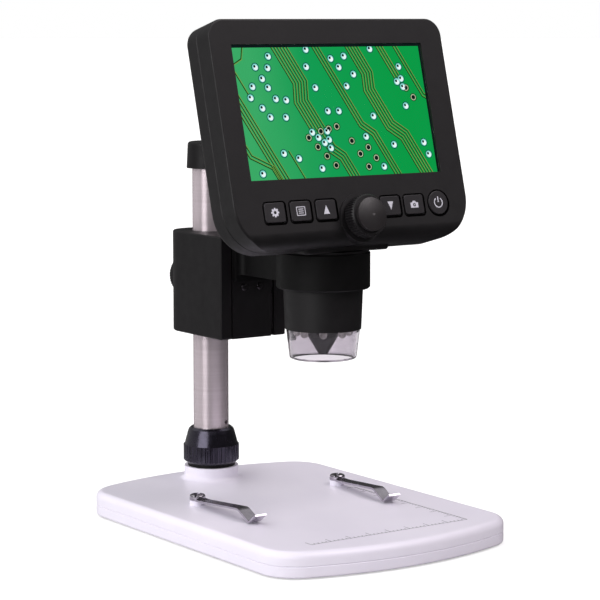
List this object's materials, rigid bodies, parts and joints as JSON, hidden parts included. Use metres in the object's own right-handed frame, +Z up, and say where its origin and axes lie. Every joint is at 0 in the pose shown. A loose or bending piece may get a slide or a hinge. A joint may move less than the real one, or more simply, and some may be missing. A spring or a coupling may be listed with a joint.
{
  "type": "digital microscope",
  "caption": "Digital microscope on a flat stage: a tilted screen head lifts out of a ring arm, which a rack carriage raises on a bracket clamped to a round column.",
  "frame": {"origin": "centre of the base's outline, on the table under the feet", "axes": "+Z up along the column, +X to the right of someone facing the screen, +Y back towards the column"},
  "size_m": [0.1206, 0.1744, 0.22],
  "materials": {
    "white_plastic": "smooth moulded plastic, soft gloss",
    "black_plastic": "fine matte moulded texture",
    "gloss_black": "polished moulded plastic",
    "key_plastic": "matte key caps with pale printed signs",
    "steel": "satin tube",
    "black_steel": "blackened screws and strip",
    "chrome": "polished plating",
    "brass": "machined",
    "aluminium": "anodised",
    "black_nylon": "smooth bearing plastic",
    "rubber": "soft foot",
    "circuit_board": "solder mask over laminate",
    "cell_wrap": "foil pouch",
    "screen_glass": "polished clear window",
    "display": "lit panel with a green board picture",
    "optical_glass": "coated lens",
    "clear_plastic": "clear moulded plastic",
    "led_lens": "clear lamp domes"
  },
  "bodies": {
    "stand": {"base_cover": "white_plastic", "base_pan": "white_plastic", "base_feet": "rubber", "base_screws": "steel", "column_tube": "steel", "column_plug": "aluminium", "column_bolt": "steel", "column_cap": "black_plastic", "collet_sleeve": "gloss_black", "clip_screws": "chrome"},
    "left_clip": {"clip_left": "chrome"},
    "right_clip": {"clip_right": "chrome"},
    "nut": {"lock_nut": "gloss_black"},
    "bush": {"column_bush": "black_nylon"},
    "bracket": {"bracket_block": "black_plastic", "gib_strip": "black_steel", "gib_screws": "black_steel"},
    "rear_knob": {"clamp_knob": "black_plastic", "clamp_screw": "steel"},
    "carriage": {"slide_block": "black_plastic", "rack": "brass", "rack_screws": "black_steel", "holder_arm": "black_plastic", "arm_screws": "black_steel"},
    "side_knob": {"height_knob": "black_plastic", "pinion_shaft": "steel", "pinion_gear": "brass"},
    "liner": {"ring_liner": "black_plastic"},
    "head": {"front_bezel": "black_plastic", "rear_case": "black_plastic", "screen_window": "screen_glass", "display_panel": "display", "main_board": "circuit_board", "battery_pack": "cell_wrap", "key_board": "circuit_board", "key_switches": "steel", "usb_socket": "steel", "card_socket": "steel", "case_screws": "steel", "small_screws": "steel", "barrel_housing": "black_plastic", "lens_hood": "black_plastic", "sensor_board": "circuit_board", "led_board": "white_plastic", "leds": "led_lens"},
    "settings_button": {"settings_key": "key_plastic"},
    "menu_button": {"menu_key": "key_plastic"},
    "up_button": {"up_key": "key_plastic"},
    "down_button": {"down_key": "key_plastic"},
    "camera_button": {"camera_key": "key_plastic"},
    "power_button": {"power_key": "key_plastic"},
    "dial": {"focus_dial": "black_plastic", "dial_cap": "gloss_black", "focus_pinion": "brass"},
    "lens": {"lens_carrier": "aluminium", "front_lens": "optical_glass", "rear_lens": "optical_glass"},
    "shade": {"clear_shade": "clear_plastic"}
  },
  "joints": [
    {"name": "clip_left_turn", "type": "hinge", "parent": "stand", "child": "left_clip", "pos_m": [-0.0373, 0.0198, 0.0139], "axis": [0, 0, 1], "range_deg": [-20, 25]},
    {"name": "clip_right_turn", "type": "hinge", "parent": "stand", "child": "right_clip", "pos_m": [0.0373, 0.0198, 0.0139], "axis": [0, 0, 1], "range_deg": [-20, 25]},
    {"name": "lock_nut_turn", "type": "hinge", "parent": "stand", "child": "nut", "pos_m": [0, 0.06675, 0.027], "axis": [0, 0, 1], "range_deg": [0, 90]},
    {"name": "bush_slide", "type": "slide", "parent": "stand", "child": "bush", "axis": [0, 0, 1], "range_m": [-0.035, 0.026]},
    {"name": "bracket_turn", "type": "hinge", "parent": "bush", "child": "bracket", "pos_m": [0, 0.06675, 0.1025], "axis": [0, 0, 1], "range_deg": [-90, 90]},
    {"name": "clamp_knob_turn", "type": "hinge", "parent": "bracket", "child": "rear_knob", "pos_m": [0, 0.084, 0.1033], "axis": [0, 1, 0], "range_deg": [0, 180]},
    {"name": "height_slide", "type": "slide", "parent": "bracket", "child": "carriage", "axis": [0, 0, 1], "range_m": [-0.012, 0.018]},
    {"name": "height_knob_turn", "type": "hinge", "parent": "bracket", "child": "side_knob", "pos_m": [0, 0.0479, 0.10255], "axis": [1, 0, 0], "range_deg": [-216, 146]},
    {"name": "head_turn", "type": "hinge", "parent": "carriage", "child": "liner", "pos_m": [0, -0.0212, 0.115], "axis": [0, 0, 1], "range_deg": [-60, 60]},
    {"name": "head_lift", "type": "slide", "parent": "liner", "child": "head", "axis": [0, 0, 1], "range_m": [0, 0.045]},
    {"name": "settings_press", "type": "slide", "parent": "head", "child": "settings_button", "axis": [0, 0.9659, -0.2588], "range_m": [0, 0.0005], "stiffness_N_per_m": 1500},
    {"name": "menu_press", "type": "slide", "parent": "head", "child": "menu_button", "axis": [0, 0.9659, -0.2588], "range_m": [0, 0.0005], "stiffness_N_per_m": 1500},
    {"name": "up_press", "type": "slide", "parent": "head", "child": "up_button", "axis": [0, 0.9659, -0.2588], "range_m": [0, 0.0005], "stiffness_N_per_m": 1500},
    {"name": "down_press", "type": "slide", "parent": "head", "child": "down_button", "axis": [0, 0.9659, -0.2588], "range_m": [0, 0.0005], "stiffness_N_per_m": 1500},
    {"name": "camera_press", "type": "slide", "parent": "head", "child": "camera_button", "axis": [0, 0.9659, -0.2588], "range_m": [0, 0.0005], "stiffness_N_per_m": 1500},
    {"name": "power_press", "type": "slide", "parent": "head", "child": "power_button", "axis": [0, 0.9659, -0.2588], "range_m": [0, 0.0005], "stiffness_N_per_m": 1500},
    {"name": "dial_turn", "type": "hinge", "parent": "head", "child": "dial", "pos_m": [0.0024, -0.04782, 0.1395], "axis": [0, -0.9659, 0.2588], "range_deg": [-70, 70]},
    {"name": "lens_focus", "type": "slide", "parent": "head", "child": "lens", "axis": [0, 0, 1], "range_m": [-0.005, 0.005]},
    {"name": "shade_pull", "type": "slide", "parent": "head", "child": "shade", "axis": [0, 0, -1], "range_m": [0, 0.01]}
  ],
  "couplings": [
    {"joint": "height_knob_turn", "follows": "height_slide", "rad_per_m": -204.08},
    {"joint": "dial_turn", "follows": "lens_focus", "rad_per_m": -241.48}
  ]
}
